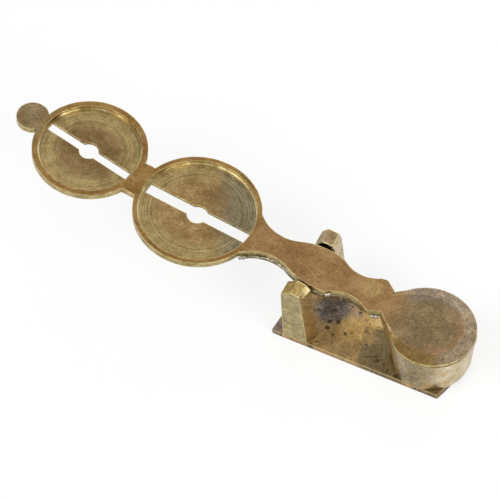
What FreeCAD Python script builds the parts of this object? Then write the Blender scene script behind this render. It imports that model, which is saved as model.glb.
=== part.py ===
import FreeCAD, Part
import math
import os
import re
import Sketcher

# A pocket coin rocker balance in brass, for a sovereign and a half sovereign.
# One beam carries two coin pans on one arm and a counterweight on the other.
# A steel knife edge under its waist rocks in two posts on a small base plate.
# Millimetres. The origin is the middle of the base plate's underside, +Z is up,
# +X runs towards the counterweight and the rear post stands on the +Y side.

doc = FreeCAD.newDocument("coin_balance")
V = FreeCAD.Vector

# Driving dimensions
SIZES = [
    ("plate_length", 34.85),
    ("plate_width", 15.8),
    ("plate_thickness", 1.1),
    ("plate_end_radius", 28.0),
    ("pivot_inset", 5.3),
    ("pivot_height", 11.95),
    ("post_thickness", 2.8),
    ("post_left_foot", 2.95),
    ("post_left_shoulder", 2.05),
    ("post_left_drop", 1.35),
    ("post_top_left", 0.5),
    ("post_top_right", 1.9),
    ("post_top_dip", 0.3),
    ("post_right_drop", 1.1),
    ("post_right_shoulder", 2.0),
    ("post_right_foot", 2.15),
    ("post_rise", 3.45),
    ("post_top_fall", 0.6),
    ("front_post_nip", 0.6),
    ("front_post_skew", 0.75),
    ("rear_post_rise", 0.37),
    ("rear_post_nip", 0.35),
    ("tenon_radius", 1.1),
    ("tenon_clearance", 0.02),
    ("front_bore_radius", 1.1),
    ("rear_bore_radius", 1.4),
    ("bush_wall", 0.2),
    ("bush_length", 1.6),
    ("bush_clearance", 0.01),
    ("rest_tilt", 10.35),
    ("beam_thickness", 1.3),
    ("beam_over_edge", 1.6),
    ("beam_set_over", 0.3),
    ("large_arm", 24.3),
    ("large_pan_radius", 12.1),
    ("large_rim", 0.95),
    ("large_pan_set", 0.66),
    ("large_slot_width", 2.35),
    ("large_slot_shift", 0.15),
    ("large_slot_set", 0.19),
    ("large_hole_radius", 2.0),
    ("large_hole_shift", 0.33),
    ("large_hole_set", 0.48),
    ("small_pan_radius", 10.95),
    ("small_rim", 1.15),
    ("small_pan_set", 0.63),
    ("small_slot_width", 1.72),
    ("small_slot_turn", 6.4),
    ("small_slot_shift", 0.11),
    ("small_slot_set", 0.23),
    ("small_hole_radius", 1.84),
    ("recess_depth", 0.8),
    ("slot_end_margin", 0.45),
    ("tab_radius", 3.1),
    ("tab_overlap", 0.95),
    ("tab_set", 1.2),
    ("bridge_far", 3.2),
    ("bridge_near", 4.1),
    ("root_overlap", 1.6),
    ("root_far", 5.15),
    ("root_near", 6.0),
    ("root_radius", 8.0),
    ("bulge_start", 4.2),
    ("bulge_start_far", 3.45),
    ("bulge_start_near", 2.75),
    ("bulge_far_radius", 12.5),
    ("bulge_near_radius", 15.0),
    ("bulge_end", 4.8),
    ("bulge_end_far", 4.0),
    ("bulge_end_near", 3.9),
    ("hollow_radius", 6.3),
    ("hollow_end", 12.1),
    ("hollow_end_far", 4.15),
    ("hollow_end_near", 2.8),
    ("shoulder", 13.4),
    ("shoulder_far", 4.5),
    ("shoulder_near", 3.35),
    ("neck", 15.5),
    ("neck_far", 3.1),
    ("neck_near", 2.25),
    ("weight_arm", 24.85),
    ("weight_radius", 8.4),
    ("weight_set", 0.1),
    ("flank_far_end", 17.7),
    ("flank_far", 5.2),
    ("flank_far_radius", 9.4),
    ("flank_near_end", 18.8),
    ("flank_near", 4.75),
    ("flank_near_radius", 6.95),
    ("bevel_drop", 0.45),
    ("bevel_arm", 25.2),
    ("bevel_radius", 6.05),
    ("bevel_neck_far", 2.1),
    ("bevel_neck_near", 2.15),
    ("bevel_far_end", 19.5),
    ("bevel_far", 4.7),
    ("bevel_near_end", 18.95),
    ("bevel_near", 4.6),
    ("bevel_flank_radius", 8.7),
    ("foot_neck", 17.1),
    ("foot_neck_half", 2.3),
    ("foot_flank_end", 20.15),
    ("foot_flank", 6.1),
    ("foot_flank_radius", 5.6),
    ("foot_arm", 24.6),
    ("foot_near", 7.8),
    ("foot_far", 7.5),
    ("foot_near_radius", 7.1),
    ("foot_far_radius", 7.5),
    ("foot_tip", 31.86),
    ("foot_set", 0.2),
    ("rest_gap", 0.02),
    ("trim_radius", 4.7),
    ("trim_depth", 2.61),
    ("strap_thickness", 1.0),
    ("strap_inset", 0.12),
    ("strap_end_gap", 1.1),
    ("knife_half_width", 0.7),
    ("knife_seat", 0.3),
    ("knife_cheek", 0.45),
    ("knife_play", 0.02),
    ("knife_end_play", 0.1),
    ("seat_clearance", 0.01),
]
sheet = doc.addObject("Spreadsheet::Sheet", "Sheet")
for row, (alias, value) in enumerate(SIZES, start=1):
    sheet.set("A%d" % row, alias)
    sheet.set("B%d" % row, str(value))
    sheet.setAlias("B%d" % row, alias)
doc.recompute()
size = {alias: float(sheet.get(alias)) for alias, value in SIZES}

TERM = re.compile(r"([+-]?)([a-z_]+|[0-9.]+)(/2)?")


def amount(text):
    """The number that a sum of named sizes comes to."""
    total = 0.0
    for sign, name, halved in TERM.findall(text):
        value = size[name] if name in size else float(name)
        value = value / 2 if halved else value
        total += -value if sign == "-" else value
    return total


def cells(text):
    """The same sum, written with the sheet's cells."""
    return re.sub(r"[a-z][a-z_]*", lambda name: "Sheet." + name.group(), text)


def flip(text):
    """The same sum with every sign turned."""
    signed = text if text[0] in "+-" else "+" + text
    return signed.translate(str.maketrans("+-", "-+"))


def new_body(label, x="0", y="0", z="0", tilt=None):
    """An empty body, placed and turned about Y by named sizes."""
    body = doc.addObject("PartDesign::Body", label)
    body.Label = label
    if tilt:
        body.Placement = FreeCAD.Placement(V(0, 0, 0), V(0, 1, 0), 1.0)
        body.setExpression("Placement.Rotation.Angle", cells(tilt))
    for axis, text in zip("xyz", (x, y, z)):
        body.setExpression("Placement.Base." + axis, cells(text))
    return body


def new_sketch(body, name, plane="XY_Plane", lift="0", turn=None, lean=None):
    """A sketch on one of the body's own origin planes, lifted off it, and
    turned in its plane or leaned about Y."""
    sketch = body.newObject("Sketcher::SketchObject", name)
    origin = [part for part in body.Origin.OriginFeatures if part.Role == plane][0]
    sketch.AttachmentSupport = [(origin, "")]
    sketch.MapMode = "FlatFace"
    sketch.setExpression("AttachmentOffset.Base.z", cells(lift))
    if turn or lean:
        axis = V(0, 0, -1) if turn else V(0, 1, 0)
        sketch.AttachmentOffset = FreeCAD.Placement(V(0, 0, 0), axis, 1.0)
        sketch.setExpression("AttachmentOffset.Rotation.Angle", cells(turn or lean))
    return sketch


def pin_point(sketch, edge, end, x, y):
    """Holds one point of a sketch at two named distances from the origin."""
    for kind, text in (("DistanceX", x), ("DistanceY", y)):
        rule = Sketcher.Constraint(kind, -1, 1, edge, end, amount(text))
        number = sketch.addConstraint(rule)
        sketch.setExpression("Constraints[%d]" % number, cells(text))


def add_circle(sketch, x, y, radius):
    """A circle held by its centre and its radius."""
    centre = V(amount(x), amount(y), 0)
    edge = sketch.addGeometry(Part.Circle(centre, V(0, 0, 1), amount(radius)))
    pin_point(sketch, edge, 3, x, y)
    number = sketch.addConstraint(Sketcher.Constraint("Radius", edge, amount(radius)))
    sketch.setExpression("Constraints[%d]" % number, cells(radius))


def arc_between(start, end, radius, side):
    """The short arc from start to end, bulging to the left where side is 1."""
    chord = end - start
    across = V(-chord.y, chord.x, 0).normalize()
    rise = radius - math.sqrt(max(radius ** 2 - (chord.Length / 2) ** 2, 0))
    top = (start + end) / 2 + across * (side * rise)
    return Part.Arc(start, top, end)


def add_outline(sketch, corners):
    """A closed outline. A corner is x, y and, where the edge that leaves it is
    an arc, that arc's radius and the side that it bulges to."""
    points = [V(amount(corner[0]), amount(corner[1]), 0) for corner in corners]
    starts, ends = [], []
    for index, corner in enumerate(corners):
        start, end = points[index], points[(index + 1) % len(points)]
        if len(corner) == 2:
            edge = sketch.addGeometry(Part.LineSegment(start, end))
            starts.append((edge, 1))
            ends.append((edge, 2))
            continue
        edge = sketch.addGeometry(arc_between(start, end, amount(corner[2]), corner[3]))
        first = (sketch.getPoint(edge, 1) - start).Length < (sketch.getPoint(edge, 2) - start).Length
        starts.append((edge, 1 if first else 2))
        ends.append((edge, 2 if first else 1))
        number = sketch.addConstraint(Sketcher.Constraint("Radius", edge, amount(corner[2])))
        sketch.setExpression("Constraints[%d]" % number, cells(corner[2]))
    for index, corner in enumerate(corners):
        sketch.addConstraint(Sketcher.Constraint("Coincident", *ends[index - 1], *starts[index]))
        pin_point(sketch, *starts[index], corner[0], corner[1])


def both_sides(upper, lower=None, tip=()):
    """A closed outline from the corners of its upper side and of its lower
    side, whose signs are turned. Both run from the left, and the edge that
    leaves the last one crosses over, or meets the tip."""
    lower = lower or upper
    back = []
    for index in range(len(lower) - 1, -1, -1):
        x, y = lower[index][:2]
        arc = lower[index - 1][2:] if index else ()
        back.append((x, flip(y)) + tuple(arc))
    return upper + list(tip) + back


def pad(body, sketch, length, back=False, both=False):
    """Material on a sketch, along its normal."""
    feature = body.newObject("PartDesign::Pad", sketch.Name + "Pad")
    feature.Profile = sketch
    feature.setExpression("Length", cells(length))
    feature.Reversed = back
    feature.Midplane = both


def ruled_loft(body, name, first, last):
    """Material between two sketches, edge to edge."""
    feature = body.newObject("PartDesign::AdditiveLoft", name)
    feature.Profile = first
    feature.Sections = [last]
    feature.Ruled = True


def pocket(body, sketch, length, back=False):
    """A cut from a sketch, against its normal."""
    feature = body.newObject("PartDesign::Pocket", sketch.Name + "Pocket")
    feature.Profile = sketch
    feature.setExpression("Length", cells(length))
    feature.Reversed = back


# Where the parts stand
PIVOT_X = "pivot_inset-plate_length/2"
GAP_HALF = "plate_width/2-post_thickness"
KNIFE_HEIGHT = "pivot_height-plate_thickness"
BEAM_TOP = "beam_over_edge+beam_thickness"
SMALL_ARM = "large_arm+large_arm"
FRONT_HEAD = {
    "rise": "post_rise",
    "skew": "+front_post_skew",
    "left": "-post_top_left+front_post_nip",
    "right": "post_top_right",
    "bore": "front_bore_radius",
}
REAR_HEAD = {
    "rise": "post_rise+rear_post_rise",
    "skew": "",
    "left": "-post_top_left",
    "right": "post_top_right-rear_post_nip",
    "bore": "rear_bore_radius",
}
PIECES = []


def build_base_plate():
    """A flat plate with one rounded end and two rivet holes for the posts."""
    body = new_body("base_plate")
    outline = new_sketch(body, "PlateOutline")
    add_outline(outline, both_sides([
        ("-plate_length/2", "plate_width/2"),
        ("plate_length/2", "plate_width/2", "plate_end_radius", 1),
    ]))
    pad(body, outline, "plate_thickness")
    holes = new_sketch(body, "PlateHoles")
    for side in ("-", "+"):
        y = "plate_width/2-post_thickness/2"
        y = flip(y) if side == "-" else y
        add_circle(holes, PIVOT_X, y, "tenon_radius+tenon_clearance")
    pocket(body, holes, "plate_thickness", back=True)
    PIECES.append(body)


def build_post(label, side, head):
    """A post with a bevelled head that falls towards the front, a rivet tenon
    below and a blind bore at the top of its inner face that takes the bush."""
    middle = "plate_width/2-post_thickness/2"
    body = new_body(label, PIVOT_X, middle if side > 0 else flip(middle), "plate_thickness")
    title = label.title().replace("_", "")
    high = KNIFE_HEIGHT + "+" + head["rise"]
    faces = []
    for name, lift, top, skew in (
        ("Front", "post_thickness/2", high + "-post_top_fall", ""),
        ("Back", "-post_thickness/2", high, head["skew"]),
    ):
        face = new_sketch(body, title + name, "XZ_Plane", lift=lift)
        add_outline(face, [
            ("post_right_foot" + skew, "0"),
            ("post_right_shoulder" + skew, top + "-post_top_dip-post_right_drop"),
            (head["right"], top + "-post_top_dip"),
            (head["left"], top),
            ("-post_left_shoulder", top + "-post_left_drop"),
            ("-post_left_foot", "0"),
        ])
        faces.append(face)
    ruled_loft(body, title + "Shank", *faces)
    tenon = new_sketch(body, title + "Tenon")
    add_circle(tenon, "0", "0", "tenon_radius")
    pad(body, tenon, "plate_thickness", back=True)
    bore = new_sketch(body, title + "Bore", "XZ_Plane",
                      lift="post_thickness/2" if side > 0 else "-post_thickness/2")
    add_circle(bore, "0", bore_height(head["bore"]), head["bore"] + "+bush_wall+bush_clearance")
    pocket(body, bore, "bush_length+bush_clearance", back=side < 0)
    PIECES.append(body)


def bore_height(radius):
    """How high a bush's middle is over the plate: the knife edge rests in it."""
    return KNIFE_HEIGHT + "+" + radius + "-knife_play"


def build_bush(label, side, radius):
    """A short steel ring, flush with the post's inner face."""
    y = GAP_HALF if side > 0 else flip(GAP_HALF)
    body = new_body(label, PIVOT_X, y, "plate_thickness+" + bore_height(radius))
    ring = new_sketch(body, label.title().replace("_", "") + "Ring", "XZ_Plane")
    add_circle(ring, "0", "0", radius + "+bush_wall")
    add_circle(ring, "0", "0", radius)
    pad(body, ring, "bush_length", back=side > 0)
    PIECES.append(body)


def beam_body(label):
    """A body in the beam's frame: its origin is the knife edge, and X runs
    along the beam, which leans at rest."""
    return new_body(label, PIVOT_X, "-beam_set_over", "pivot_height", tilt="rest_tilt")


ROOT = "-large_arm+large_pan_radius-root_overlap"
WAIST_FAR = [
    (ROOT, "root_far", "root_radius", -1),
    ("-bulge_start", "bulge_start_far", "bulge_far_radius", 1),
    ("bulge_end", "bulge_end_far", "hollow_radius", -1),
    ("hollow_end", "hollow_end_far"),
    ("shoulder", "shoulder_far"),
    ("neck", "neck_far"),
]
WAIST_NEAR = [
    (ROOT, "root_near", "root_radius", -1),
    ("-bulge_start", "bulge_start_near", "bulge_near_radius", 1),
    ("bulge_end", "bulge_end_near", "hollow_radius", -1),
    ("hollow_end", "hollow_end_near"),
    ("shoulder", "shoulder_near"),
    ("neck", "neck_near"),
]
TEARDROP = both_sides([
    ("neck", "neck_far"),
    ("flank_far_end", "flank_far", "flank_far_radius", 1),
    ("weight_arm", "weight_radius+weight_set", "weight_radius", 1),
], [
    ("neck", "neck_near"),
    ("flank_near_end", "flank_near", "flank_near_radius", 1),
    ("weight_arm", "weight_radius-weight_set"),
], [("weight_arm+weight_radius", "weight_set", "weight_radius", 1)])
BEVEL_TOP = both_sides([
    ("neck", "bevel_neck_far"),
    ("bevel_far_end", "bevel_far", "bevel_flank_radius", 1),
    ("bevel_arm", "bevel_radius", "bevel_radius", 1),
], [
    ("neck", "bevel_neck_near"),
    ("bevel_near_end", "bevel_near", "bevel_flank_radius", 1),
    ("bevel_arm", "bevel_radius"),
], [("bevel_arm+bevel_radius", "0", "bevel_radius", 1)])
FOOT = both_sides([
    ("foot_neck", "foot_neck_half"),
    ("foot_flank_end", "foot_flank", "foot_flank_radius", 1),
    ("foot_arm", "foot_far", "foot_far_radius", 1),
], [
    ("foot_neck", "foot_neck_half"),
    ("foot_flank_end", "foot_flank", "foot_flank_radius", 1),
    ("foot_arm", "foot_near"),
], [("foot_tip", "-foot_set", "foot_near_radius", 1)])


def build_beam_plate():
    """The beam: a finger tab, two round pans with a bridge between them, the
    waved waist and the bevelled teardrop over the counterweight."""
    body = beam_body("beam_plate")
    small = (flip(SMALL_ARM), "small_pan_set")
    large = ("-large_arm", "-large_pan_set")
    tab = (flip(SMALL_ARM + "+small_pan_radius+tab_radius-tab_overlap"), "tab_set")
    add_disc(body, "SmallDisc", *small, "small_pan_radius")
    add_disc(body, "TabDisc", *tab, "tab_radius")
    bridge = new_sketch(body, "PanBridge", lift="beam_over_edge")
    add_outline(bridge, both_sides(
        [(small[0], "bridge_far"), (large[0], "bridge_far")],
        [(small[0], "bridge_near"), (large[0], "bridge_near")],
    ))
    pad(body, bridge, "beam_thickness")
    add_disc(body, "LargeDisc", *large, "large_pan_radius")
    waist = new_sketch(body, "Waist", lift="beam_over_edge")
    add_outline(waist, both_sides(WAIST_FAR, WAIST_NEAR))
    pad(body, waist, "beam_thickness")
    lower = new_sketch(body, "TeardropEdge", lift="beam_over_edge")
    add_outline(lower, TEARDROP)
    pad(body, lower, "beam_thickness-bevel_drop")
    edge = new_sketch(body, "BevelEdge", lift=BEAM_TOP + "-bevel_drop")
    add_outline(edge, TEARDROP)
    face = new_sketch(body, "BevelFace", lift=BEAM_TOP)
    add_outline(face, BEVEL_TOP)
    ruled_loft(body, "Bevel", edge, face)
    for name, centre, recess in (
        ("Small", small, "small_pan_radius-small_rim"),
        ("Large", large, "large_pan_radius-large_rim"),
    ):
        sketch = new_sketch(body, name + "Recess", lift=BEAM_TOP)
        add_circle(sketch, *centre, recess)
        pocket(body, sketch, "recess_depth")
    small_cut = (small[0] + "-small_slot_shift", small[1] + "-small_slot_set")
    large_cut = (large[0] + "+large_slot_shift", large[1] + "-large_slot_set")
    large_hole = (large[0] + "+large_hole_shift", large[1] + "-large_hole_set")
    cut_slot(body, "SmallSlot", small_cut, "small_slot_width", "small_pan_radius-small_rim",
             turn="small_slot_turn")
    cut_slot(body, "LargeSlot", large_cut, "large_slot_width", "large_pan_radius-large_rim")
    cut_hole(body, "SmallHole", *small_cut, "small_hole_radius")
    cut_hole(body, "LargeHole", *large_hole, "large_hole_radius")
    PIECES.append(body)


def add_disc(body, name, x, y, radius):
    """A round piece of the beam, as thick as the beam."""
    disc = new_sketch(body, name, lift="beam_over_edge")
    add_circle(disc, x, y, radius)
    pad(body, disc, "beam_thickness")


def cut_hole(body, name, x, y, radius):
    """A round hole through a pan's floor."""
    hole = new_sketch(body, name, lift=BEAM_TOP)
    add_circle(hole, x, y, radius)
    pocket(body, hole, "beam_thickness")


def cut_slot(body, name, centre, width, recess, turn=None):
    """A slot along the beam through a pan's floor, for a coin held on edge."""
    sketch = new_sketch(body, name, lift=BEAM_TOP, turn=turn)
    sketch.setExpression("AttachmentOffset.Base.x", cells(centre[0]))
    sketch.setExpression("AttachmentOffset.Base.y", cells(centre[1]))
    reach = recess + "-slot_end_margin"
    add_outline(sketch, both_sides([
        (flip(reach), width + "/2"),
        (reach, width + "/2"),
    ]))
    pocket(body, sketch, "beam_thickness")


def build_waist_strap():
    """A second plate soldered under the waist, grooved across for the knife."""
    body = beam_body("waist_strap")
    outline = new_sketch(body, "StrapOutline", lift="beam_over_edge")
    sides = []
    for corners in (WAIST_FAR, WAIST_NEAR):
        root = (ROOT + "+strap_end_gap", corners[0][1] + "-strap_end_gap", *corners[0][2:])
        sides.append([(x, y + "-strap_inset", *arc) for x, y, *arc in [root] + corners[1:4]])
    add_outline(outline, both_sides(*sides))
    pad(body, outline, "strap_thickness", back=True)
    groove = new_sketch(body, "KnifeGroove", lift="beam_over_edge-strap_thickness")
    add_outline(groove, both_sides([
        ("-knife_half_width-seat_clearance", "plate_width/2"),
        ("knife_half_width+seat_clearance", "plate_width/2"),
    ]))
    pocket(body, groove, "strap_thickness-knife_seat", back=True)
    PIECES.append(body)


def build_knife_edge():
    """A steel prism, ground to an edge below, that spans the two bushes."""
    body = new_body("knife_edge", PIVOT_X, "0", "pivot_height", tilt="rest_tilt")
    section = new_sketch(body, "KnifeSection", "XZ_Plane")
    top = "beam_over_edge-knife_seat"
    add_outline(section, [
        ("0", "0"),
        ("knife_half_width", top + "-knife_cheek"),
        ("knife_half_width", top),
        ("-knife_half_width", top),
        ("-knife_half_width", top + "-knife_cheek"),
    ])
    half = GAP_HALF + "+bush_length-knife_end_play"
    pad(body, section, half + "+" + half, both=True)
    PIECES.append(body)


def build_counterweight():
    """The block under the beam's end. It narrows from the teardrop above to a
    level foot on the plate, and is bored out from below to trim it."""
    body = new_body("counterweight", PIVOT_X, "-beam_set_over", "plate_thickness+rest_gap")
    foot = new_sketch(body, "WeightFoot")
    add_outline(foot, FOOT)
    top = new_sketch(body, "WeightTop", lean="rest_tilt")
    top.setExpression("AttachmentOffset.Base.x", "Sheet.beam_over_edge * sin(Sheet.rest_tilt * 1 deg)")
    top.setExpression("AttachmentOffset.Base.z",
                      cells(KNIFE_HEIGHT + "-rest_gap")
                      + " + Sheet.beam_over_edge * cos(Sheet.rest_tilt * 1 deg)")
    add_outline(top, TEARDROP)
    ruled_loft(body, "WeightBlock", foot, top)
    trim = new_sketch(body, "TrimBore")
    add_circle(trim, "foot_arm", "-foot_set", "trim_radius")
    pocket(body, trim, "trim_depth", back=True)
    PIECES.append(body)


build_base_plate()
build_post("front_post", -1, FRONT_HEAD)
build_post("rear_post", 1, REAR_HEAD)
build_bush("front_bush", -1, FRONT_HEAD["bore"])
build_bush("rear_bush", 1, REAR_HEAD["bore"])
build_beam_plate()
build_waist_strap()
build_knife_edge()
build_counterweight()
doc.recompute()

faults = []
for item in doc.Objects:
    if "Invalid" in item.State or "Error" in item.State:
        faults.append(item.Name + " " + str(item.State))
for piece in PIECES:
    shape = piece.Shape
    if shape.isNull() or not shape.isValid() or len(shape.Solids) != 1:
        faults.append(piece.Label + " is not one valid solid")
if faults:
    raise SystemExit("failed: " + "; ".join(faults))

os.makedirs("parts", exist_ok=True)
for piece in PIECES:
    piece.Shape.exportStep("parts/%s.step" % piece.Label)
    box = piece.Shape.BoundBox
    print("%-14s volume %9.2f  x %.2f %.2f  y %.2f %.2f  z %.2f %.2f" % (
        piece.Label, piece.Shape.Volume, box.XMin, box.XMax, box.YMin, box.YMax, box.ZMin, box.ZMax))
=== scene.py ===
import math

import bpy
import numpy as np
from mathutils import Matrix, Vector


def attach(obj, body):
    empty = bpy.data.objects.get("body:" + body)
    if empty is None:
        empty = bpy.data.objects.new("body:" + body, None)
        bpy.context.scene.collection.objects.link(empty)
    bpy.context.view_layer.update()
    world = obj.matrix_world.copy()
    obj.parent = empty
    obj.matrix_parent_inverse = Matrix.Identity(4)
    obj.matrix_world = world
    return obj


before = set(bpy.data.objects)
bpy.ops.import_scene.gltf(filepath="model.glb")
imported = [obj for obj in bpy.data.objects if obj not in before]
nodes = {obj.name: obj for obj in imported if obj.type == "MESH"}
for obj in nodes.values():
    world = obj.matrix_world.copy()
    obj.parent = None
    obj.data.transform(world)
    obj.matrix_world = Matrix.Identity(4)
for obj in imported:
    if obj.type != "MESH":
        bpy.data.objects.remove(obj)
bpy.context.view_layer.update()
mm = 0.001

# The beam leans at rest. Its own frame starts on the knife edge, with X along the beam.
beamFrame = {"origin": (-12.125, -0.3, 11.95), "tilt": 10.35, "top": 2.9, "underside": 1.6}


def linear(hexText, alpha=1.0):
    # sRGB to linear: c / 12.92 below 0.04045, otherwise ((c + 0.055) / 1.055) to the power 2.4
    parts = [int(hexText[i:i + 2], 16) / 255 for i in (1, 3, 5)]
    return tuple(c / 12.92 if c <= 0.04045 else ((c + 0.055) / 1.055) ** 2.4 for c in parts) + (alpha,)


def addNode(tree, kind, links=None, **settings):
    # One node with its settings. A link's value is a socket, a node (its first output) or a plain value.
    node = tree.nodes.new(kind)
    for key, value in settings.items():
        setattr(node, key, value)
    for key, value in (links or {}).items():
        if isinstance(value, bpy.types.Node):
            value = value.outputs[0]
        if isinstance(value, bpy.types.NodeSocket):
            tree.links.new(value, node.inputs[key])
        else:
            node.inputs[key].default_value = value
    return node


def newMaterial(name):
    material = bpy.data.materials.new(name)
    material.use_nodes = True
    material.node_tree.nodes.clear()
    return material, material.node_tree


def standCoords(tree):
    # object coordinates in millimetres
    where = addNode(tree, "ShaderNodeTexCoord")
    return addNode(tree, "ShaderNodeMapping", {"Vector": where.outputs["Object"], "Scale": (mm, mm, mm)},
                   vector_type="TEXTURE")


def beamCoords(tree):
    # object coordinates in millimetres, moved to the knife edge and turned back to the level beam
    where = addNode(tree, "ShaderNodeTexCoord")
    return addNode(tree, "ShaderNodeMapping", {
        "Vector": where.outputs["Object"],
        "Location": [v * mm for v in beamFrame["origin"]],
        "Rotation": (0, math.radians(beamFrame["tilt"]), 0),
        "Scale": (mm, mm, mm)}, vector_type="TEXTURE")


def noise(tree, coords, sizeMm, detail=4, rough=0.55, stretch=(1, 1, 1), shift=(0, 0, 0)):
    # cloudy pattern whose patches are about sizeMm across
    moved = addNode(tree, "ShaderNodeMapping", {
        "Vector": coords, "Location": shift, "Scale": [s / sizeMm for s in stretch]})
    return addNode(tree, "ShaderNodeTexNoise", {
        "Vector": moved, "Scale": 1.0, "Detail": detail, "Roughness": rough}).outputs[0]


def maskFrom(tree, *parts):
    # the product of its parts, where a part (value, low, high) is a smooth step from 0 at low to 1 at high
    product = None
    for part in parts:
        if isinstance(part, tuple):
            part = addNode(tree, "ShaderNodeMapRange", {0: part[0], 1: part[1], 2: part[2]},
                           interpolation_type="SMOOTHSTEP")
        product = part if product is None else addNode(
            tree, "ShaderNodeMath", {0: product, 1: part}, operation="MULTIPLY")
    return product


def facing(tree, direction):
    # how squarely the surface looks along a direction, in the object's own axes
    where = addNode(tree, "ShaderNodeTexCoord")
    return addNode(tree, "ShaderNodeVectorMath", {
        0: where.outputs["Normal"], 1: direction}, operation="DOT_PRODUCT").outputs["Value"]


def distanceFrom(tree, coords, centre):
    # distance in the XY plane from a centre
    flat = addNode(tree, "ShaderNodeMapping", {
        "Vector": coords, "Location": (-centre[0], -centre[1], 0), "Scale": (1, 1, 0)})
    return addNode(tree, "ShaderNodeVectorMath", {0: flat}, operation="LENGTH").outputs["Value"]


def wornEdgesAndHighlight(tree, radiusMm):
    # 1 along outer edges: the rounded normal turns from the flat one there, and nothing is close by
    rounded = addNode(tree, "ShaderNodeBevel", {"Radius": radiusMm * mm}, samples=6)
    flat = addNode(tree, "ShaderNodeNewGeometry")
    alike = addNode(tree, "ShaderNodeVectorMath", {0: rounded, 1: flat.outputs["Normal"]},
                    operation="DOT_PRODUCT").outputs["Value"]
    edge = maskFrom(tree, (alike, 0.995, 0.9))
    clear = addNode(tree, "ShaderNodeAmbientOcclusion", {"Distance": radiusMm * 2.5 * mm},
                    samples=6, only_local=True)
    return maskFrom(tree, edge, (clear.outputs["AO"], 0.55, 0.85))


def shadedCorners(tree, reachMm):
    # 1 in inner corners, where shade falls: this is painted shade
    shade = addNode(tree, "ShaderNodeAmbientOcclusion", {"Distance": reachMm * mm}, samples=8)
    return maskFrom(tree, (shade.outputs["AO"], 0.75, 0.3))


def layOver(tree, under, mask, over):
    # one finish over another: what the upper one has of colour, roughness and height is mixed in by the mask
    mixed = dict(under)
    for key in over:
        kind, sockets = "ShaderNodeMix", ("Factor", "A", "B")
        if key == "colour":
            kind, sockets = "ShaderNodeMixRGB", ("Fac", "Color1", "Color2")
        mixed[key] = addNode(tree, kind, dict(zip(sockets, (mask, under[key], over[key]))))
    return mixed


def patina(tree, coords, look):
    # brown skin on brass: broad blotches, a fine grain, and small dark specks
    blotch = noise(tree, coords, look["blotchMm"], detail=6, rough=0.62, shift=look.get("shift", (0, 0, 0)))
    grain = noise(tree, coords, look["grainMm"], detail=3, rough=0.75, stretch=look.get("grainStretch", (1, 1, 1)))
    blend = addNode(tree, "ShaderNodeMath", {0: blotch, 1: 0.55}, operation="MULTIPLY")
    blend = addNode(tree, "ShaderNodeMath", {0: grain, 1: 0.45, 2: blend}, operation="MULTIPLY_ADD")
    ramp = addNode(tree, "ShaderNodeValToRGB", {"Fac": blend})
    dark, middle, light = look["colours"]
    first, last = ramp.color_ramp.elements
    first.position, first.color = 0.40, linear(dark)
    last.position, last.color = 0.60, linear(light)
    ramp.color_ramp.elements.new(0.5).color = linear(middle)
    speck = noise(tree, coords, look["speckMm"], detail=2, rough=0.8, shift=(31, 7, 3))
    rough = addNode(tree, "ShaderNodeMapRange", {
        "Value": blend, "From Min": 0.35, "From Max": 0.65,
        "To Min": look["rough"] + 0.08, "To Max": look["rough"] - 0.08})
    height = addNode(tree, "ShaderNodeMath", {0: grain, 1: look["grainDepthMm"]}, operation="MULTIPLY")
    skin = {"colour": ramp, "rough": rough, "height": height}
    return layOver(tree, skin, maskFrom(tree, (speck, look["speckFrom"], look["speckFrom"] + 0.08), 0.7),
                   {"colour": linear(look["speckColour"])})


def scratches(tree, coords, look, turn, shift):
    # fine lines: noise drawn out along one direction, kept only in patches
    turned = addNode(tree, "ShaderNodeMapping", {"Vector": coords, "Rotation": (0, 0, math.radians(turn))})
    drawn = look["spacingMm"] / look["lengthMm"]
    line = noise(tree, turned, look["spacingMm"], detail=2, rough=0.6, shift=(shift, shift, 0),
                 stretch=(drawn, 1, drawn))
    patchy = noise(tree, coords, 5.0, detail=2, shift=(shift, 5, shift))
    return maskFrom(tree, (line, 0.6, 0.7), (patchy, 0.46, 0.6), look["share"])


def scratched(tree, coords, skin, look):
    # one layer of fine lines for each direction
    for turn, shift in look["turns"]:
        skin = layOver(tree, skin, scratches(tree, coords, look, turn, shift), {"colour": linear(look["colour"])})
    return skin


def aged(tree, skin, look):
    # painted shade in inner corners, then the paler metal of worn outer edges, which also carries a painted highlight
    darkening, edge = look["darkening"], look["edge"]
    skin = layOver(tree, skin, maskFrom(tree, shadedCorners(tree, darkening["reachMm"]), darkening["share"]),
                   plain(darkening["colour"], darkening["rough"]))
    return layOver(tree, skin, maskFrom(tree, wornEdgesAndHighlight(tree, edge["wideMm"]), edge["share"]),
                   plain(edge["colour"], edge["rough"]))


def finishMetal(material, tree, finish, roundMm, metallic=1.0):
    # the layers go to one metal shader, whose edges are rounded a little in the shading
    rounded = addNode(tree, "ShaderNodeBevel", {"Radius": roundMm * mm}, samples=6)
    relief = addNode(tree, "ShaderNodeBump", {
        "Strength": 1.0, "Distance": mm, "Height": finish["height"], "Normal": rounded})
    shader = addNode(tree, "ShaderNodeBsdfPrincipled", {
        "Base Color": finish["colour"], "Roughness": finish["rough"], "Metallic": metallic, "Normal": relief})
    addNode(tree, "ShaderNodeOutputMaterial", {"Surface": shader})
    return material


def plain(colour, rough):
    return {"colour": linear(colour), "rough": rough, "height": 0.0}
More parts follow.
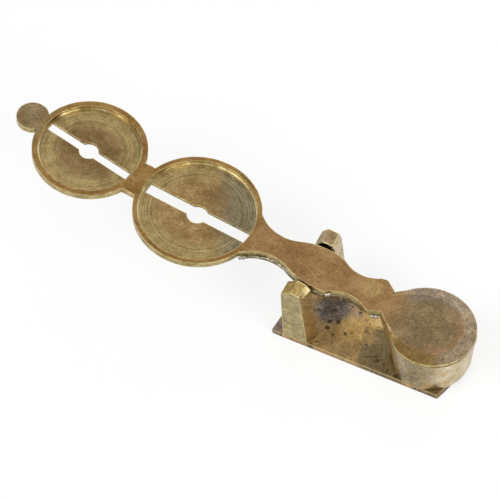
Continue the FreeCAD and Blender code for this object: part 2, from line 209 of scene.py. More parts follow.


# In every skin below grainMm is drawn coarser than the real grain of worn brass, which is about 0.1 mm
# and too fine to show.

# Beam: sheet brass, sawn and filed. Long handling gives the eye a dull brown skin with soft blotches and a fine
# grain, greyer on the tab and the teardrop, pale rings where the pans were turned, and thin bright worn edges that
# also carry a painted highlight. The sides, the bevel and the recess rims carry painted light as well.
beamLook = {
    "skin": {"colours": ("#755836", "#8B6B45", "#9D7E56"), "blotchMm": 5.0, "grainMm": 0.5,
             "grainDepthMm": 0.035, "speckMm": 0.5, "speckFrom": 0.62, "speckColour": "#5A4527", "rough": 0.42},
    "worn": {"colours": ("#6A573E", "#7F6C4D", "#988363"), "blotchMm": 4.5, "grainMm": 0.45,
             "grainDepthMm": 0.04, "speckMm": 0.5, "speckFrom": 0.60, "speckColour": "#4B3B25", "rough": 0.40},
    "wornEnds": ((-57.0, -60.5), (15.5, 21.0)),
    "rim": {"colours": ("#6F532D", "#846539", "#977A48"), "blotchMm": 4.0, "grainMm": 0.45,
            "grainDepthMm": 0.035, "speckMm": 0.5, "speckFrom": 0.62, "speckColour": "#524022", "rough": 0.40},
    "rimFrom": -11.5,
    "blush": {"colours": ("#77573A", "#8E6A48", "#A27C57"), "blotchMm": 3.0, "grainMm": 0.45,
              "grainDepthMm": 0.03, "speckMm": 0.5, "speckFrom": 0.62, "speckColour": "#54402A", "rough": 0.40},
    "blushCentre": (23.2, 0.3), "blushReach": 8.2, "blushShare": 0.8,
    "bevelNear": {"colours": ("#6C5531", "#7C633B", "#93794D"), "blotchMm": 3.0, "grainMm": 0.4,
                  "grainDepthMm": 0.03, "speckMm": 0.5, "speckFrom": 0.62, "speckColour": "#57452A", "rough": 0.36},
    "bevelFar": {"colours": ("#675A4B", "#796B59", "#8F806D"), "blotchMm": 2.5, "grainMm": 0.45,
                 "grainDepthMm": 0.05, "speckMm": 0.5, "speckFrom": 0.58, "speckColour": "#5F4E3A", "rough": 0.42},
    "bevelRight": {"colours": ("#7C6C55", "#938168", "#AE9C80"), "blotchMm": 2.0, "grainMm": 0.4,
                   "grainDepthMm": 0.05, "speckMm": 0.5, "speckFrom": 0.56, "speckColour": "#5A4A34", "rough": 0.40},
    "bevelCentre": (25.2, 0.0), "bevelReach": 6.05,
    "floor": {"blotchMm": 3.5, "grainMm": 0.45, "grainDepthMm": 0.03,
              "speckMm": 0.45, "speckFrom": 0.62, "speckColour": "#54432C", "rough": 0.40},
    "ring": {"colours": ("#7C6942", "#937D52", "#AB9566"), "blotchMm": 2.5, "grainMm": 0.4,
             "grainDepthMm": 0.03, "speckMm": 0.4, "speckFrom": 0.60, "speckColour": "#5B4C34", "rough": 0.36},
    "cool": {"colours": ("#5B5443", "#6F6753", "#877E67"), "blotchMm": 2.5, "grainMm": 0.4,
             "grainDepthMm": 0.03, "speckMm": 0.4, "speckFrom": 0.60, "speckColour": "#4C4636", "rough": 0.36},
    "lip": {"colours": ("#B0A376", "#D2C6A0", "#EAE1C4"), "blotchMm": 2.0, "grainMm": 0.35,
            "grainDepthMm": 0.02, "speckMm": 0.4, "speckFrom": 0.60, "speckColour": "#6B5A3C", "rough": 0.28},
    "side": {"colours": ("#8A774C", "#AE9B68", "#CABA8A"), "blotchMm": 1.6, "grainMm": 0.35,
             "grainDepthMm": 0.05, "speckMm": 0.4, "speckFrom": 0.58, "speckColour": "#5E4A2C", "rough": 0.36},
    "pans": ({"centre": (-48.6, 0.63), "recess": 9.8, "inner": 5.6, "groove": 6.6, "coolFrom": 14.0,
              "colours": ("#614D2F", "#765E3C", "#8B7251")},
             {"centre": (-24.3, -0.66), "recess": 11.15, "inner": 7.0, "groove": 8.6, "coolFrom": 2.0,
              "colours": ("#745C38", "#8E7249", "#A5895D")}),
    "lathe": {"spacingMm": 0.22, "depthMm": 0.03, "dark": "#54452B", "darkShare": 0.5,
              "pale": "#C4B27F", "paleShare": 0.3},
    "scratch": {"turns": ((24, 0), (-58, 3)), "spacingMm": 0.35, "lengthMm": 6.0, "colour": "#B9A277",
                "share": 0.28},
    "fileMarks": {"centre": (11.6, 1.4), "reach": 2.4, "turn": 78, "spacingMm": 0.22, "colour": "#B3A066",
                  "share": 0.4},
    "darkening": {"colour": "#46361F", "reachMm": 0.7, "share": 0.7, "seamShare": 0.8, "rough": 0.6},
    "edge": {"colour": "#CDBB80", "wideMm": 0.26, "rough": 0.3}, "roundMm": 0.1,
}


def panFloor(tree, coords, reach, look, pan):
    # a turned recess: brown in the middle, paler outside, grey on the cool side, with fine lathe marks in rings
    lathe = look["lathe"]
    floor = patina(tree, coords, dict(look["floor"], colours=pan["colours"], shift=(pan["recess"], 0, 0)))
    wander = noise(tree, coords, 4.0, detail=4, shift=(3, pan["recess"], 1))
    wavy = addNode(tree, "ShaderNodeMath", {0: wander, 1: 5.0, 2: reach}, operation="MULTIPLY_ADD")
    outer = maskFrom(tree, (wavy, pan["inner"] + 1.5, pan["inner"] + 4.5))
    floor = layOver(tree, floor, outer, patina(tree, coords, look["ring"]))
    slanted = addNode(tree, "ShaderNodeMapping", {
        "Vector": coords, "Location": (-pan["centre"][0], -pan["centre"][1], 0)})
    aside = addNode(tree, "ShaderNodeVectorMath", {0: slanted, 1: (0.84, 0.54, 0)}, operation="DOT_PRODUCT")
    aside = addNode(tree, "ShaderNodeMath", {0: wander, 1: 6.0, 2: aside.outputs["Value"]}, operation="MULTIPLY_ADD")
    floor = layOver(tree, floor, maskFrom(tree, (aside, pan["coolFrom"] + 3.0, pan["coolFrom"] + 8.0), 0.85),
                    patina(tree, coords, look["cool"]))
    turned = addNode(tree, "ShaderNodeMath", {0: reach, 1: 1 / lathe["spacingMm"]}, operation="MULTIPLY")
    turned = addNode(tree, "ShaderNodeTexNoise", {"W": turned, "Scale": 1.0, "Detail": 2.0, "Roughness": 0.6},
                     noise_dimensions="1D").outputs[0]
    patchy = noise(tree, coords, 3.0, detail=3, shift=(9, 1, pan["recess"]))
    lines = maskFrom(tree, (turned, 0.52, 0.66), (patchy, 0.38, 0.58))
    groove = addNode(tree, "ShaderNodeMath", {0: reach, 1: pan["groove"]}, operation="SUBTRACT")
    groove = addNode(tree, "ShaderNodeMath", {0: groove}, operation="ABSOLUTE")
    lines = addNode(tree, "ShaderNodeMath", {0: lines, 1: maskFrom(tree, (groove, 0.14, 0.05))}, operation="MAXIMUM")
    sunk = addNode(tree, "ShaderNodeMath", {0: lines, 1: -lathe["depthMm"], 2: floor["height"]},
                   operation="MULTIPLY_ADD")
    floor = layOver(tree, floor, maskFrom(tree, lines, lathe["darkShare"]), {"colour": linear(lathe["dark"])})
    pale = maskFrom(tree, (turned, 0.48, 0.36), outer, lathe["paleShare"])
    return dict(layOver(tree, floor, pale, {"colour": linear(lathe["pale"])}), height=sunk)


def beamTop(tree, coords, along, wander, look):
    # the level top: brown, more golden on the pans' rims, greyer at both ends, reddish around the lid's middle
    skin = patina(tree, coords, look["skin"])
    skin = layOver(tree, skin, maskFrom(tree, (along, look["rimFrom"], look["rimFrom"] - 2.0)),
                   patina(tree, coords, look["rim"]))
    worn = patina(tree, coords, look["worn"])
    for start, full in look["wornEnds"]:
        skin = layOver(tree, skin, maskFrom(tree, (along, start, full)), worn)
    ringed = distanceFrom(tree, coords, look["blushCentre"])
    ringed = addNode(tree, "ShaderNodeMath", {0: wander, 1: 5.0, 2: ringed}, operation="MULTIPLY_ADD")
    blush = maskFrom(tree, (ringed, look["blushReach"], look["blushReach"] + 2.0), (along, 15.0, 19.0),
                     look["blushShare"])
    skin = layOver(tree, skin, blush, patina(tree, coords, look["blush"]))
    skin = scratched(tree, coords, skin, look["scratch"])
    marks = look["fileMarks"]
    strokes = addNode(tree, "ShaderNodeMapping", {"Vector": coords, "Rotation": (0, 0, math.radians(marks["turn"]))})
    strokes = noise(tree, strokes, marks["spacingMm"], detail=0, stretch=(0.05, 1, 0.05))
    away = distanceFrom(tree, coords, marks["centre"])
    filed = maskFrom(tree, (strokes, 0.46, 0.56), (away, marks["reach"], marks["reach"] - 0.8), marks["share"])
    return layOver(tree, skin, filed, {"colour": linear(marks["colour"])})


def bevelled(tree, coords, along, up, wander, skin, look):
    # the teardrop's bevel: golden at the front, grey-violet at the far side, greyish and pitted at the right. The
    # tone follows the way the bevel faces, so it is filed metal with painted light, and the far side's grey-violet is
    # a painted sheen
    skin = layOver(tree, skin, maskFrom(tree, (up, 0.995, 0.988)), patina(tree, coords, look["bevelNear"]))
    outward = addNode(tree, "ShaderNodeMapping", {
        "Vector": coords, "Location": (-look["bevelCentre"][0], 0, 0), "Scale": (1, 1, 0)})
    outward = addNode(tree, "ShaderNodeVectorMath", {0: outward}, operation="NORMALIZE")
    border = distanceFrom(tree, coords, look["bevelCentre"])
    border = addNode(tree, "ShaderNodeMath", {0: wander, 1: 1.6, 2: border}, operation="MULTIPLY_ADD")
    border = maskFrom(tree, (border, look["bevelReach"] - 0.5, look["bevelReach"] + 1.3), (along, 15.5, 17.5))
    for kind, direction in (("bevelFar", (-0.1, 1, 0)), ("bevelRight", (1, 0.05, 0))):
        aside = addNode(tree, "ShaderNodeVectorMath", {0: outward, 1: direction}, operation="DOT_PRODUCT")
        skin = layOver(tree, skin, maskFrom(tree, border, (aside.outputs["Value"], 0.35, 0.75)),
                       patina(tree, coords, look[kind]))
    return skin


def makeBeamBrass(look):
    material, tree = newMaterial("aged sheet brass, filed")
    coords = beamCoords(tree)
    place = addNode(tree, "ShaderNodeSeparateXYZ", {0: coords})
    along, high = place.outputs["X"], place.outputs["Z"]
    tilt = math.radians(beamFrame["tilt"])
    up = facing(tree, (math.sin(tilt), 0, math.cos(tilt)))
    wander = noise(tree, coords, 3.0, detail=4, shift=(6, 6, 6))
    skin = beamTop(tree, coords, along, wander, look)
    skin = bevelled(tree, coords, along, up, wander, skin, look)
    # the sides are painted paler than the top: a painted reflection of the white floor and a painted highlight along
    # the near edge
    skin = layOver(tree, skin, maskFrom(tree, (up, 0.75, 0.45)), patina(tree, coords, look["side"]))
    darkening, edge = look["darkening"], look["edge"]
    seam = maskFrom(tree, (high, beamFrame["underside"] + 0.45, beamFrame["underside"] + 0.1),
                    (along, -12.5, -10.0), darkening["seamShare"])
    # darker in inner corners as painted shade, and along the seam at the strap's end
    darkened = maskFrom(tree, shadedCorners(tree, darkening["reachMm"]), darkening["share"])
    darkened = addNode(tree, "ShaderNodeMath", {0: darkened, 1: seam}, operation="MAXIMUM")
    chance = noise(tree, coords, 6.0, detail=3, shift=(2, 2, 2))
    for pan in look["pans"]:
        reach = distanceFrom(tree, coords, pan["centre"])
        inside = maskFrom(tree, (reach, pan["recess"] + 0.08, pan["recess"] + 0.04),
                          (high, beamFrame["top"] - 0.01, beamFrame["top"] - 0.06))
        skin = layOver(tree, skin, inside, panFloor(tree, coords, reach, look, pan))
        # a pale ring round each recess's rim: worn metal with a painted highlight
        lip = maskFrom(tree, (reach, pan["recess"] - 0.32, pan["recess"] - 0.12), inside, (chance, 0.3, 0.62))
        skin = layOver(tree, skin, lip, patina(tree, coords, look["lip"]))
        outside = addNode(tree, "ShaderNodeMath", {0: 1.0, 1: inside}, operation="SUBTRACT")
        darkened = maskFrom(tree, darkened, outside)
    skin = layOver(tree, skin, darkened, plain(darkening["colour"], darkening["rough"]))
    patchy = noise(tree, coords, 1.5, detail=3, shift=(4, 4, 4))
    # the pale colour on outer edges is worn metal with a painted highlight
    skin = layOver(tree, skin, maskFrom(tree, wornEdgesAndHighlight(tree, edge["wideMm"]), (patchy, 0.34, 0.56)),
                   plain(edge["colour"], edge["rough"]))
    return finishMetal(material, tree, skin, look["roundMm"])


# Counterweight: cast brass, dressed with a file. To the eye it is paler than the beam, pitted with dark spots,
# nearly white where it faces the light on the right, which is paler metal under a painted highlight, and golden in
# patches low down. The left flank's own tone is partly painted light.
weightLook = {
    "skin": {"colours": ("#75664A", "#8F805F", "#A89A78"), "blotchMm": 3.0, "grainMm": 0.45,
             "grainDepthMm": 0.06, "speckMm": 0.5, "speckFrom": 0.58, "speckColour": "#55442A", "rough": 0.38,
             "grainStretch": (1, 1, 0.5)},
    "paleAndLitRight": {"colours": ("#B5A37D", "#CDBD9A", "#DFD2B6"), "blotchMm": 2.5, "grainMm": 0.45,
               "grainDepthMm": 0.05, "speckMm": 0.5, "speckFrom": 0.60, "speckColour": "#7A633C", "rough": 0.32},
    "flank": {"colours": ("#9C8450", "#BA9F69", "#D6BD86"), "blotchMm": 3.0, "grainMm": 0.45,
              "grainDepthMm": 0.04, "speckMm": 0.5, "speckFrom": 0.58, "speckColour": "#4B3B20", "rough": 0.42},
    "stain": {"colour": "#BD985F", "sizeMm": 3.5, "below": 9.5, "share": 0.55, "rough": 0.32},
    "darkening": {"colour": "#46371F", "reachMm": 0.9, "share": 0.7, "rough": 0.6},
    "edge": {"colour": "#EADBB2", "wideMm": 0.22, "share": 0.8, "rough": 0.28}, "roundMm": 0.12,
}


def makeWeightBrass(look):
    material, tree = newMaterial("cast brass, dressed")
    coords = standCoords(tree)
    skin = patina(tree, coords, look["skin"])
    # the right-facing walls are painted nearly white: paler metal with a painted highlight from the right
    paleAndLitRight = maskFrom(tree, (facing(tree, (0.94, -0.34, 0)), 0.52, 0.95))
    skin = layOver(tree, skin, paleAndLitRight, patina(tree, coords, look["paleAndLitRight"]))
    stain = look["stain"]
    spread = noise(tree, coords, stain["sizeMm"], detail=5, shift=(5, 2, 9))
    high = addNode(tree, "ShaderNodeSeparateXYZ", {0: coords}).outputs["Z"]
    stained = maskFrom(tree, (spread, 0.48, 0.58), (high, stain["below"], stain["below"] - 5.0), stain["share"])
    skin = layOver(tree, skin, stained, plain(stain["colour"], stain["rough"]))
    # the left-facing flank gets a golden tone of its own, which is partly painted light on that side
    flank = maskFrom(tree, (facing(tree, (-1, 0, 0)), 0.35, 0.65))
    skin = layOver(tree, skin, flank, patina(tree, coords, look["flank"]))
    return finishMetal(material, tree, aged(tree, skin, look), look["roundMm"])


# Posts: brass bar, filed on the sides and hammered on the outer faces. The eye sees slanting file marks on the
# right faces, shallow pits with soft rims on the outer ones, and bright ridges between them. The right faces are
# painted paler than the rest, which is painted light from the right over the filed metal.
postLook = {
    "skin": {"colours": ("#857143", "#A78E56", "#C8AE73"), "blotchMm": 2.5, "grainMm": 0.4,
             "grainDepthMm": 0.04, "speckMm": 0.45, "speckFrom": 0.62, "speckColour": "#5C4A28", "rough": 0.38,
             "grainStretch": (1, 1, 0.35)},
    "rear": {"colours": ("#7C6A4C", "#97815E", "#B09B76"), "blotchMm": 2.5, "grainMm": 0.4,
             "grainDepthMm": 0.04, "speckMm": 0.45, "speckFrom": 0.60, "speckColour": "#4C3D22", "rough": 0.38},
    "outer": {"colours": ("#8C7E55", "#A6986B", "#BCAE7F"), "blotchMm": 1.6, "grainMm": 0.35,
              "grainDepthMm": 0.03, "speckMm": 0.5, "speckFrom": 0.62, "speckColour": "#6B5C38", "rough": 0.34},
    "filed": {"colours": ("#AE9B72", "#D4BE8C", "#EEDDB2"), "blotchMm": 2.5, "grainMm": 0.4,
              "grainDepthMm": 0.03, "speckMm": 0.5, "speckFrom": 0.62, "speckColour": "#7A6138", "rough": 0.36},
    "pale": {"colours": ("#A08D6E", "#BFAC8C", "#D3C3A6"), "blotchMm": 2.5, "grainMm": 0.4,
             "grainDepthMm": 0.04, "speckMm": 0.5, "speckFrom": 0.60, "speckColour": "#7A6544", "rough": 0.34},
    "pits": {"sizeMm": 0.8, "depthMm": 0.25, "below": 13.0},
    "file": {"sizeMm": 0.3, "depthMm": 0.05, "share": 0.25},
    "darkening": {"colour": "#3E311B", "reachMm": 0.9, "share": 0.7, "rough": 0.6},
    "edge": {"colour": "#E2D29C", "wideMm": 0.3, "share": 0.7, "rough": 0.28}, "roundMm": 0.22,
}


def makePostBrass(name, look, skinKind, rightKind):
    material, tree = newMaterial(name)
    coords = standCoords(tree)
    skin = patina(tree, coords, look[skinKind])
    file, pits = look["file"], look["pits"]
    right = patina(tree, coords, look[rightKind])
    marks = addNode(tree, "ShaderNodeMapping", {"Vector": coords, "Rotation": (math.radians(52), 0, 0)})
    marks = noise(tree, marks, file["sizeMm"], detail=2, rough=0.6, stretch=(0.1, 0.06, 1))
    marks = maskFrom(tree, (marks, 0.42, 0.62))
    right["height"] = addNode(tree, "ShaderNodeMath", {0: marks, 1: file["depthMm"], 2: right["height"]},
                              operation="MULTIPLY_ADD")
    right = layOver(tree, right, maskFrom(tree, marks, file["share"]), {"colour": linear(look["edge"]["colour"])})
    # the right faces get a paler skin: filed metal, with painted light from the right
    skin = layOver(tree, skin, maskFrom(tree, (facing(tree, (1, 0, 0)), 0.6, 0.9)), right)
    outer = patina(tree, coords, look["outer"])
    spread = addNode(tree, "ShaderNodeMapping", {"Vector": coords, "Scale": [1 / pits["sizeMm"]] * 3})
    spread = addNode(tree, "ShaderNodeTexVoronoi", {"Vector": spread, "Scale": 1.0, "Smoothness": 0.5},
                     feature="SMOOTH_F1")
    patchy = noise(tree, coords, 2.2, detail=3, shift=(8, 3, 2))
    high = addNode(tree, "ShaderNodeSeparateXYZ", {0: coords}).outputs["Z"]
    hollow = maskFrom(tree, (spread.outputs["Distance"], 0.6, 0.2), (patchy, 0.42, 0.56),
                      (high, pits["below"], pits["below"] - 3.0))
    outer["height"] = addNode(tree, "ShaderNodeMath", {0: hollow, 1: -pits["depthMm"], 2: outer["height"]},
                              operation="MULTIPLY_ADD")
    skin = layOver(tree, skin, maskFrom(tree, (facing(tree, (0, -1, 0)), 0.6, 0.9)), outer)
    return finishMetal(material, tree, aged(tree, skin, look), look["roundMm"])


# Base plate: rolled sheet brass in a golden lacquer. The eye sees orange-gold where the lacquer is whole, brown and
# olive where it is worn through, a bluish grey stain by the front post and a few round dark spots. The olive patches
# by the counterweight also carry a painted shadow. Lacquer and dirt scatter part of the light, so it is not all
# metal.
plateLook = {
    "brown": {"colours": ("#86704A", "#A9895A", "#C6A572"), "blotchMm": 2.0, "grainMm": 0.4,
              "grainDepthMm": 0.05, "speckMm": 0.5, "speckFrom": 0.57, "speckColour": "#5A4830", "rough": 0.42},
    "gold": {"colours": ("#A68450", "#C29E60", "#D6B87E"), "blotchMm": 2.5, "grainMm": 0.45,
             "grainDepthMm": 0.04, "speckMm": 0.5, "speckFrom": 0.60, "speckColour": "#7A5A30", "rough": 0.34},
    "oliveAndShaded": {"colours": ("#5C5034", "#766542", "#8C7A54"), "blotchMm": 1.8, "grainMm": 0.4,
            "grainDepthMm": 0.05, "speckMm": 0.5, "speckFrom": 0.58, "speckColour": "#3C3220", "rough": 0.44},
    "stain": {"colours": ("#5A5250", "#786E66", "#A39080"), "blotchMm": 1.6, "grainMm": 0.4,
              "grainDepthMm": 0.03, "speckMm": 0.4, "speckFrom": 0.60, "speckColour": "#3E3834", "rough": 0.45},
    # each zone is a skin, its centre, its reach and how soft its border is, all in millimetres
    # the two olive zones lie by the counterweight: worn lacquer with a painted shadow
    "zones": (("gold", (-3.4, 0.4), 4.9, 1.2), ("oliveAndShaded", (6.6, -3.4), 7.0, 1.8), ("oliveAndShaded", (17.0, -6.0), 5.5, 1.0),
              ("stain", (-17.3, -7.2), 2.6, 1.2), ("stain", (-9.6, 1.6), 4.0, 1.8)),
    "spots": {"apartMm": 2.6, "colour": "#3A2D1F", "share": 0.8},
    "scratch": {"turns": ((-38, 2), (62, 6)), "spacingMm": 0.3, "lengthMm": 7.0, "colour": "#BDB07A",
                "share": 0.3},
    "darkening": {"colour": "#3C2F1C", "reachMm": 1.2, "share": 0.8, "rough": 0.6},
    "edge": {"colour": "#BDB07A", "wideMm": 0.22, "share": 0.8, "rough": 0.3}, "roundMm": 0.1, "metallic": 0.7,
}


def makePlateBrass(look):
    material, tree = newMaterial("sheet brass, lacquer worn and stained")
    coords = standCoords(tree)
    wander = noise(tree, coords, 3.0, detail=6, rough=0.65, shift=(2, 8, 1))
    skin = patina(tree, coords, look["brown"])
    for kind, centre, zone, soft in look["zones"]:
        reach = distanceFrom(tree, coords, centre)
        reach = addNode(tree, "ShaderNodeMath", {0: wander, 1: -12.0, 2: reach}, operation="MULTIPLY_ADD")
        skin = layOver(tree, skin, maskFrom(tree, (reach, zone - 6.0 + soft, zone - 6.0 - soft)),
                       patina(tree, coords, look[kind]))
    spots = look["spots"]
    spread = addNode(tree, "ShaderNodeMapping", {
        "Vector": coords, "Scale": (1 / spots["apartMm"], 1 / spots["apartMm"], 0)})
    spread = addNode(tree, "ShaderNodeTexVoronoi", {"Vector": spread, "Scale": 1.0}, voronoi_dimensions="2D")
    wide = noise(tree, coords, 2.5, detail=1, shift=(7, 7, 7))
    spotted = addNode(tree, "ShaderNodeMath", {0: wide, 1: 0.7, 2: spread.outputs["Distance"]},
                      operation="MULTIPLY_ADD")
    skin = layOver(tree, skin, maskFrom(tree, (spotted, 0.46, 0.4), spots["share"]),
                   {"colour": linear(spots["colour"])})
    skin = scratched(tree, coords, skin, look["scratch"])
    return finishMetal(material, tree, aged(tree, skin, look), look["roundMm"], look["metallic"])


# Strap: brass darkened by the torch, with soft solder smeared along its edge. The eye sees dark, dirty brass and
# silvery, lumpy patches that thin out towards the teardrop.
strapLook = {
    "brass": {"colours": ("#4F422A", "#75653F", "#97855A"), "blotchMm": 1.6, "grainMm": 0.35,
              "grainDepthMm": 0.06, "speckMm": 0.4, "speckFrom": 0.56, "speckColour": "#2E2414", "rough": 0.44},
    "solder": {"colours": ("#827A69", "#A39B8A", "#C6BEAC"), "blotchMm": 0.9, "grainMm": 0.35,
               "grainDepthMm": 0.08, "speckMm": 0.4, "speckFrom": 0.58, "speckColour": "#4F4635", "rough": 0.30},
    "smearMm": 1.4, "smearEnds": (1.0, 5.0), "roundMm": 0.12, "beadRoundMm": 0.05,
}


def makeStrapBrass(look):
    material, tree = newMaterial("brass smeared with soft solder")
    coords = beamCoords(tree)
    skin = patina(tree, coords, look["brass"])
    along = addNode(tree, "ShaderNodeSeparateXYZ", {0: coords}).outputs["X"]
    start, end = look["smearEnds"]
    smear = noise(tree, coords, look["smearMm"], detail=5, stretch=(0.5, 1, 1))
    smear = addNode(tree, "ShaderNodeMath", {0: smear, 1: maskFrom(tree, (along, start, end))}, operation="SUBTRACT")
    skin = layOver(tree, skin, maskFrom(tree, (smear, 0.5, 0.56)), patina(tree, coords, look["solder"]))
    return finishMetal(material, tree, skin, look["roundMm"])


def makeSolder(look):
    # tin and lead, melted and left to run: pale grey, soft shine, dulled by dust
    material, tree = newMaterial("soft solder, run and dulled")
    return finishMetal(material, tree, patina(tree, beamCoords(tree), look["solder"]), look["beadRoundMm"])


# Knife edge and bushes: ground steel. The eye sees a smooth dark grey with a thin bright rim and brown rust specks.
steelLook = {"colours": ("#5B5651", "#827C75", "#A39D95"), "blotchMm": 1.0, "grainMm": 0.2, "roundMm": 0.05,
             "grainDepthMm": 0.01, "speckMm": 0.3, "speckFrom": 0.58, "speckColour": "#4A3525", "rough": 0.32}


def makeSteel(look):
    material, tree = newMaterial("ground steel")
    return finishMetal(material, tree, patina(tree, standCoords(tree), look), look["roundMm"])


finishes = {
    "beam_plate": makeBeamBrass(beamLook),
    "counterweight": makeWeightBrass(weightLook),
    "front_post": makePostBrass("brass bar, filed and hammered", postLook, "skin", "filed"),
    "rear_post": makePostBrass("brass bar, filed, painted light on the right", postLook, "rear", "pale"),
    "base_plate": makePlateBrass(plateLook),
    "waist_strap": makeStrapBrass(strapLook),
    "knife_edge": makeSteel(steelLook),
}
finishes["front_bush"] = finishes["rear_bush"] = finishes["knife_edge"]
for name, finish in finishes.items():
    for place in nodes[name].material_slots:
        place.material = finish
print("finishes on", len(finishes), "nodes")


def toPart(points):
    # beam frame in millimetres to the part's frame in metres: turned about Y by the tilt, then moved
    tilt = math.radians(beamFrame["tilt"])
    x, y, z = points[..., 0], points[..., 1], points[..., 2]
    turned = np.stack([x * math.cos(tilt) + z * math.sin(tilt), y, -x * math.sin(tilt) + z * math.cos(tilt)], -1)
    return (turned + np.array(beamFrame["origin"])) * mm


def closedTube(name, rings, material):
    # a grid of rings, each joined to the next, with a fan to a middle point at both ends
    count, around = rings.shape[:2]
    ends = np.stack([rings[0].mean(0), rings[-1].mean(0)])
    points = np.concatenate([rings.reshape(-1, 3), ends])
    row, column = np.meshgrid(np.arange(count - 1), np.arange(around), indexing="ij")
    after = (column + 1) % around
    walls = np.stack([row * around + column, row * around + after,
                      (row + 1) * around + after, (row + 1) * around + column], -1).reshape(-1, 4)
    step = np.arange(around)
    first, last = count * around, (count - 1) * around
    caps = np.concatenate([
        np.stack([np.full(around, first), (step + 1) % around, step], -1),
        np.stack([np.full(around, first + 1), last + step, last + (step + 1) % around], -1)])
    mesh = bpy.data.meshes.new(name)
    mesh.from_pydata(points.tolist(), [], walls.tolist() + caps.tolist())
    mesh.shade_smooth()
    mesh.materials.append(material)
    item = bpy.data.objects.new(name, mesh)
    bpy.context.scene.collection.objects.link(item)
    return item


# Solder: a thin ragged bead along each side of the strap, and lumps where it ran out. Paths are in the beam's
# frame and in millimetres, as x and y. "height" is how many times taller than wide, "lift" raises a lump.
solderLook = {
    "solder_near": {"path": [(-12.5, -4.75), (-11.0, -3.7), (-10.0, -3.1), (-8.3, -2.45), (-6.7, -2.2), (-4.2, -2.65),
                             (-2.0, -3.35), (0.0, -3.85), (2.0, -4.1), (4.0, -4.05), (5.5, -3.25), (7.0, -2.45),
                             (9.0, -2.0), (10.5, -2.15), (12.1, -2.7)],
                    "radius": 0.21, "height": 1.5, "ragged": 0.75, "steps": 260, "seed": 5, "thinTo": 0.5},
    "solder_far": {"path": [(-12.3, 3.8), (-10.5, 2.95), (-9.0, 2.6), (-7.5, 2.45), (-6.0, 2.7), (-4.5, 3.25),
                            (-2.0, 4.0), (0.5, 4.3), (3.0, 4.25), (4.8, 3.85), (7.0, 3.05), (8.5, 2.9),
                            (10.0, 3.15), (12.1, 4.0)],
                   "radius": 0.18, "height": 1.4, "ragged": 0.6, "steps": 220, "seed": 9},
    "lump_left": {"path": [(-12.9, -5.0), (-11.6, -4.2)], "radius": 0.42, "height": 1.0, "ragged": 0.3,
                  "steps": 24, "seed": 3},
    "lump_waist": {"path": [(4.9, -3.95), (5.9, -3.35)], "radius": 0.5, "height": 1.0, "ragged": 0.25,
                   "steps": 24, "seed": 7, "lift": 0.85},
    "lump_neck": {"path": [(13.9, -3.0), (15.5, -2.45)], "radius": 0.5, "height": 1.0, "ragged": 0.3,
                  "steps": 24, "seed": 11},
    "lump_neck_far": {"path": [(15.0, 3.2), (16.2, 3.35)], "radius": 0.5, "height": 1.1, "ragged": 0.3,
                      "steps": 24, "seed": 13},
}


def solderBead(name, look):
    # a tube along a path under the beam. Its radius is the bead's own times 1 less half the raggedness, plus the
    # raggedness times a sum of sines of random phase; it closes at both ends with the root of the distance to them
    random = np.random.default_rng(look["seed"])
    way = np.array(look["path"])
    along = np.linspace(0, 1, look["steps"])
    knots = np.linspace(0, 1, len(way))
    x = np.interp(along, knots, way[:, 0])
    y = np.interp(along, knots, way[:, 1])
    turn = np.linspace(0, 2 * np.pi, 14, endpoint=False)
    ripple = np.zeros((len(along), len(turn)))
    for wave in range(2, 8 + look["steps"] // 5, 3):
        phase = random.uniform(0, 2 * np.pi, 3)
        ripple += np.sin(wave * 2.2 * along[:, None] * np.pi + phase[0]
                         + random.integers(0, 3) * turn[None, :] + phase[1]) / wave ** 0.55
    ripple /= np.abs(ripple).max()
    radius = np.clip(look["radius"] * (1 - look["ragged"] / 2 + look["ragged"] * ripple), 0.03, None)
    radius = radius * np.clip(np.sqrt(np.minimum(along, 1 - along) * 6), 0.05, 1)[:, None]
    radius = radius * np.interp(x, (0.0, 5.0), (1.0, look.get("thinTo", 1.0)))[:, None]
    z = beamFrame["underside"] + look.get("lift", 0.0) - radius.mean(1) * look["height"] * 0.8
    rings = np.stack([
        np.broadcast_to(x[:, None], radius.shape),
        y[:, None] + radius * np.cos(turn),
        z[:, None] + radius * look["height"] * np.sin(turn)], -1)
    return closedTube(name, toPart(rings), solderFinish)


solderFinish = makeSolder(strapLook)
for name, look in solderLook.items():
    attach(solderBead(name, look), "beam")
print("solder made:", len(solderLook), "beads and lumps")


# Floor: plain white paper, uncoated, so it has no shine. It glows a little where it is seen, so that it stays white
# and keeps the shadow.
floorLook = {"half": 3.0, "level": -0.00003, "colour": "#F4F4F3", "rough": 0.9, "glow": 0.78}
half, level = floorLook["half"], floorLook["level"]
floorMesh = bpy.data.meshes.new("floor")
floorMesh.from_pydata([(-half, -half, level), (half, -half, level), (half, half, level), (-half, half, level)],
                      [], [(0, 1, 2, 3)])
floor = bpy.data.objects.new("floor", floorMesh)
bpy.context.scene.collection.objects.link(floor)
floorMaterial, floorTree = newMaterial("white paper")
light = addNode(floorTree, "ShaderNodeLightPath")
seen = addNode(floorTree, "ShaderNodeMath", {
    0: light.outputs["Is Camera Ray"], 1: light.outputs["Is Glossy Ray"]}, operation="MAXIMUM")
paper = addNode(floorTree, "ShaderNodeBsdfPrincipled", {
    "Base Color": linear(floorLook["colour"]), "Roughness": floorLook["rough"]})
glow = addNode(floorTree, "ShaderNodeEmission", {"Color": (1, 1, 1, 1), "Strength": 1.0})
share = addNode(floorTree, "ShaderNodeMath", {0: seen, 1: floorLook["glow"]}, operation="MULTIPLY")
blend = addNode(floorTree, "ShaderNodeMixShader", {0: share, 1: paper, 2: glow})
addNode(floorTree, "ShaderNodeOutputMaterial", {"Surface": blend})
floorMesh.materials.append(floorMaterial)

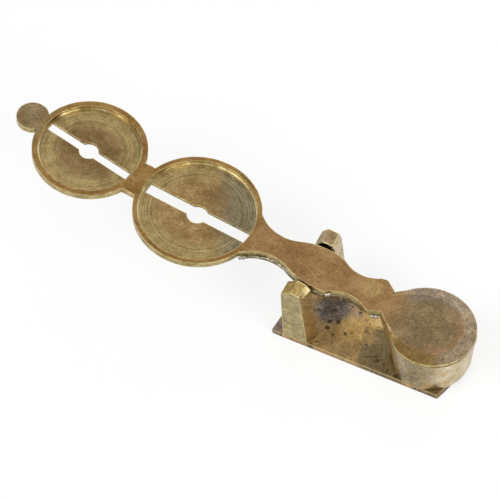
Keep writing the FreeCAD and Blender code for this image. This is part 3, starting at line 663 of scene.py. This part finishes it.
# World: white where it is seen, softer where it only lights
world = bpy.data.worlds.new("studio")
bpy.context.scene.world = world
world.use_nodes = True
skyTree = world.node_tree
skyTree.nodes.clear()
light = addNode(skyTree, "ShaderNodeLightPath")
seen = addNode(skyTree, "ShaderNodeMath", {
    0: light.outputs["Is Camera Ray"], 1: light.outputs["Is Glossy Ray"]}, operation="MAXIMUM")
seen = addNode(skyTree, "ShaderNodeMath", {0: seen, 1: light.outputs["Is Transmission Ray"]}, operation="MAXIMUM")
strength = addNode(skyTree, "ShaderNodeMapRange", {"Value": seen, "To Min": 0.55, "To Max": 1.0})
sky = addNode(skyTree, "ShaderNodeBackground", {"Color": (1, 1, 1, 1), "Strength": strength})
addNode(skyTree, "ShaderNodeOutputWorld", {"Surface": sky})

# Lamps: place in metres, size in metres, power in watts
lamps = {
    "key": {"place": (-0.35, -0.55, 0.75), "size": 0.55, "power": 4.0},
    "back": {"place": (-0.15, 0.75, 0.35), "size": 0.5, "power": 1.5},
    "side": {"place": (0.75, -0.25, 0.3), "size": 0.45, "power": 5.0},
}
for name, lamp in lamps.items():
    data = bpy.data.lights.new(name, "AREA")
    data.size, data.energy = lamp["size"], lamp["power"]
    item = bpy.data.objects.new(name, data)
    item.location = lamp["place"]
    item.rotation_euler = (-Vector(lamp["place"])).to_track_quat("-Z", "Y").to_euler()
    bpy.context.scene.collection.objects.link(item)

# Camera: a long lens at the photo's angle, measured in millimetres from the object's origin
camera = {"place": (193.685, -284.56, 439.89), "azimuth": 37.62, "elevation": 50.02, "roll": -9.23, "lens": 216}


def placeCamera(look):
    # back is the way to the viewer, right is level, and both are turned by the roll
    azimuth, elevation, roll = (math.radians(look[key]) for key in ("azimuth", "elevation", "roll"))
    back = Vector((math.sin(azimuth) * math.cos(elevation), -math.cos(azimuth) * math.cos(elevation),
                   math.sin(elevation)))
    right = Vector((math.cos(azimuth), math.sin(azimuth), 0))
    up = back.cross(right)
    turnedRight = right * math.cos(roll) + up * math.sin(roll)
    turnedUp = up * math.cos(roll) - right * math.sin(roll)
    data = bpy.data.cameras.new("camera")
    data.lens, data.sensor_width = look["lens"], 36
    item = bpy.data.objects.new("camera", data)
    axes = Matrix((turnedRight, turnedUp, back)).transposed().to_4x4()
    item.matrix_world = Matrix.Translation(Vector(look["place"]) * mm) @ axes
    bpy.context.scene.collection.objects.link(item)
    bpy.context.scene.camera = item


placeCamera(camera)
bpy.context.scene.view_settings.view_transform = "Standard"
print("camera and light set")
